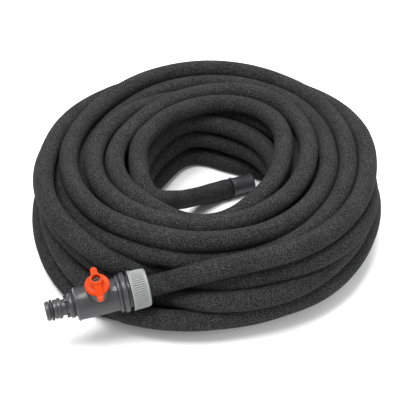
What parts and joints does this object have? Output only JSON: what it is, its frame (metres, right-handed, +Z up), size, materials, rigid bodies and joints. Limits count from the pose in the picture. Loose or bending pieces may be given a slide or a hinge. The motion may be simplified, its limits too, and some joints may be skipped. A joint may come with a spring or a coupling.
{
  "type": "soaker hose",
  "caption": "Round coil of porous rubber soaker hose with a regulating shut-off valve, quick-connect nipple and ribbed union nut at the inlet, and a screw cap at the far end.",
  "frame": {"origin": "middle of the whole part's outline, on the surface that the coil lies on", "axes": "+Z up, the coil's own axis is parallel to Z, -Y towards the side that the valve lies on, +X to the right seen from there"},
  "size_m": [0.3344, 0.353, 0.0829],
  "materials": {
    "porous_rubber": "matte, finely porous charcoal rubber",
    "fitting_plastic": "satin dark grey moulding",
    "nut_plastic": "satin light grey moulding, fine ribs",
    "knob_plastic": "semi-gloss orange moulding",
    "seal_rubber": "smooth black",
    "seat_plastic": "natural off-white",
    "plug_plastic": "natural off-white",
    "screw_steel": "zinc plated"
  },
  "bodies": {
    "root": {"hose_coil": "porous_rubber", "hose_inlet_run": "porous_rubber", "hose_inlet_end": "porous_rubber", "hose_end_run": "porous_rubber", "hose_far_end": "porous_rubber", "quick_connect_nipple": "fitting_plastic", "nipple_o_ring": "seal_rubber", "shank_seal": "seal_rubber", "valve_body": "fitting_plastic", "seat_ring": "seat_plastic", "stem_bush": "fitting_plastic", "end_barb": "fitting_plastic"},
    "plug": {"valve_plug": "plug_plastic", "plug_o_rings": "seal_rubber", "regulator_knob": "knob_plastic", "knob_screw": "screw_steel"},
    "grip": {"grip_ring": "seat_plastic"},
    "nut": {"union_nut": "nut_plastic"},
    "washer": {"cap_washer": "seal_rubber"},
    "cap": {"end_cap": "fitting_plastic"}
  },
  "joints": [
    {"name": "valve_turn", "type": "hinge", "parent": "root", "child": "plug", "pos_m": [-0.088, -0.1552, 0.047], "axis": [-0.0054, -0.2349, 0.972], "range_deg": [0, 90]},
    {"name": "nut_travel", "type": "slide", "parent": "root", "child": "grip", "axis": [0.9613, 0.2666, 0.0698], "range_m": [0, 0.0061]},
    {"name": "nut_spin", "type": "hinge", "parent": "grip", "child": "nut", "pos_m": [-0.05532, -0.14614, 0.04937], "axis": [0.9613, 0.2666, 0.0698], "range_deg": [0, 720]},
    {"name": "cap_travel", "type": "slide", "parent": "root", "child": "washer", "axis": [0.9157, 0.4019, 0], "range_m": [0, 0.0061]},
    {"name": "cap_spin", "type": "hinge", "parent": "washer", "child": "cap", "pos_m": [0.03776, 0.04582, 0.0105], "axis": [0.9157, 0.4019, 0], "range_deg": [0, 1080]}
  ],
  "couplings": [
    {"joint": "nut_travel", "follows": "nut_spin", "m_per_rad": 0.00047746},
    {"joint": "cap_travel", "follows": "cap_spin", "m_per_rad": 0.00031831}
  ]
}
